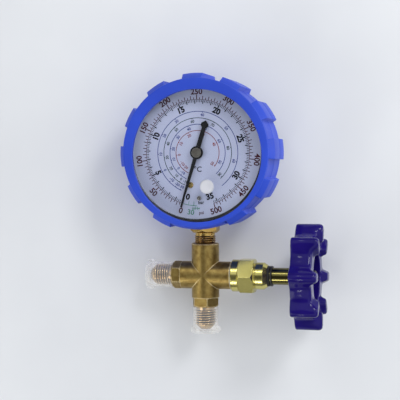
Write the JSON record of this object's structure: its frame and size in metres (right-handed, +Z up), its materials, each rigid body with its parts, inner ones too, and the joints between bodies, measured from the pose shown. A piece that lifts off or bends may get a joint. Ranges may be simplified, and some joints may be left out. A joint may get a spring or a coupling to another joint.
{
  "type": "refrigerant manifold gauge",
  "caption": "Pressure gauge in a lugged rubber boot on a forged brass cross body, with capped flare ports and a handwheel shut-off valve.",
  "frame": {"origin": "on the axis of the lower flare port, at the outer end of its full thread", "axes": "+Z up the gauge through its 12 o'clock, -Y out of the dial, +X along the valve stem to the handwheel"},
  "size_m": [0.1032, 0.0548, 0.1356],
  "materials": {
    "boot_blue": "matte rubber",
    "case_black": "black painted steel",
    "clear_lens": "clear",
    "gasket_black": "matte",
    "plug_white": "satin",
    "dial_white": "printed matt paint",
    "screw_brass": "turned",
    "screw_nickel": "plated",
    "pointer_black": "matt black",
    "hub_steel": "turned",
    "movement_brass": "stamped",
    "steel": "plain",
    "tube_bronze": "drawn",
    "socket_brass": "turned",
    "forged_brass": "sand-blasted forging",
    "bonnet_brass": "bright turned",
    "stem_brass": "bright turned",
    "seal_white": "PTFE",
    "black_steel": "black oxide",
    "wheel_blue": "gloss enamel",
    "cap_clear": "translucent"
  },
  "bodies": {
    "gauge_body": {"gauge_boot": "boot_blue", "gauge_case": "case_black", "case_screws": "steel", "lens": "clear_lens", "lens_gasket": "gasket_black", "dial_plate": "dial_white", "dial_bracket": "movement_brass", "dial_screw": "screw_brass", "hairspring": "tube_bronze", "movement_back_plate": "movement_brass", "movement_front_plate": "movement_brass", "movement_screws": "steel", "movement_pillars": "movement_brass", "pillar_screws": "steel", "bourdon_tube": "tube_bronze", "tube_tip": "movement_brass", "gauge_socket": "socket_brass", "restrictor_screw": "screw_brass", "cross_body": "forged_brass", "bonnet": "bonnet_brass", "bonnet_seal_washer": "seal_white", "dust_washer": "gasket_black"},
    "calibration_adjuster": {"calibration_screw": "screw_nickel"},
    "access_plug": {"lens_plug": "plug_white"},
    "pointer_assembly": {"pointer": "pointer_black", "pointer_hub_cap": "hub_steel", "pointer_arbor": "steel"},
    "sector_assembly": {"sector_gear": "movement_brass", "sector_arbor": "steel", "link_pin": "steel"},
    "link": {"sector_link": "movement_brass"},
    "seat_disc_carrier": {"seat_disc": "seal_white"},
    "stem_assembly": {"valve_stem": "stem_brass", "stem_o_rings": "gasket_black", "stem_snap_ring": "black_steel", "handwheel": "wheel_blue", "handwheel_washer": "steel", "handwheel_screw": "steel"},
    "left_cap": {"left_port_cap": "cap_clear"},
    "lower_cap": {"lower_port_cap": "cap_clear"}
  },
  "joints": [
    {"name": "pointer_turn", "type": "hinge", "parent": "gauge_body", "child": "pointer_assembly", "pos_m": [0, -0.017, 0.09], "axis": [0, 1, 0], "range_deg": [-10, 325], "stiffness_Nm_per_rad": 0.002},
    {"name": "sector_turn", "type": "hinge", "parent": "gauge_body", "child": "sector_assembly", "pos_m": [0, -0.0079, 0.074], "axis": [0, 1, 0], "range_deg": [-36.3, 1.3]},
    {"name": "link_turn", "type": "hinge", "parent": "sector_assembly", "child": "link", "pos_m": [0.00899, -0.0089, 0.07431], "axis": [0, 1, 0], "range_deg": [-1.9, 54]},
    {"name": "stem_travel", "type": "slide", "parent": "gauge_body", "child": "seat_disc_carrier", "axis": [1, 0, 0], "range_m": [0, 0.003]},
    {"name": "stem_turn", "type": "hinge", "parent": "seat_disc_carrier", "child": "stem_assembly", "pos_m": [0.05, 0, 0.0255], "axis": [1, 0, 0], "range_deg": [0, 1080]},
    {"name": "left_cap_slide", "type": "slide", "parent": "gauge_body", "child": "left_cap", "axis": [-1, 0, 0], "range_m": [0, 0.03]},
    {"name": "lower_cap_slide", "type": "slide", "parent": "gauge_body", "child": "lower_cap", "axis": [0, 0, -1], "range_m": [0, 0.03]},
    {"name": "lens_plug_slide", "type": "slide", "parent": "gauge_body", "child": "access_plug", "axis": [0, -1, 0], "range_m": [0, 0.012]},
    {"name": "calibration_turn", "type": "hinge", "parent": "gauge_body", "child": "calibration_adjuster", "pos_m": [0.0008, -0.015, 0.0666], "axis": [0, -1, 0], "range_deg": [-180, 180]}
  ],
  "couplings": [
    {"joint": "sector_turn", "follows": "pointer_turn", "ratio": -0.11111},
    {"joint": "link_turn", "follows": "pointer_turn", "ratio": 0.1653},
    {"joint": "stem_travel", "follows": "stem_turn", "m_per_rad": 0.000159}
  ]
}
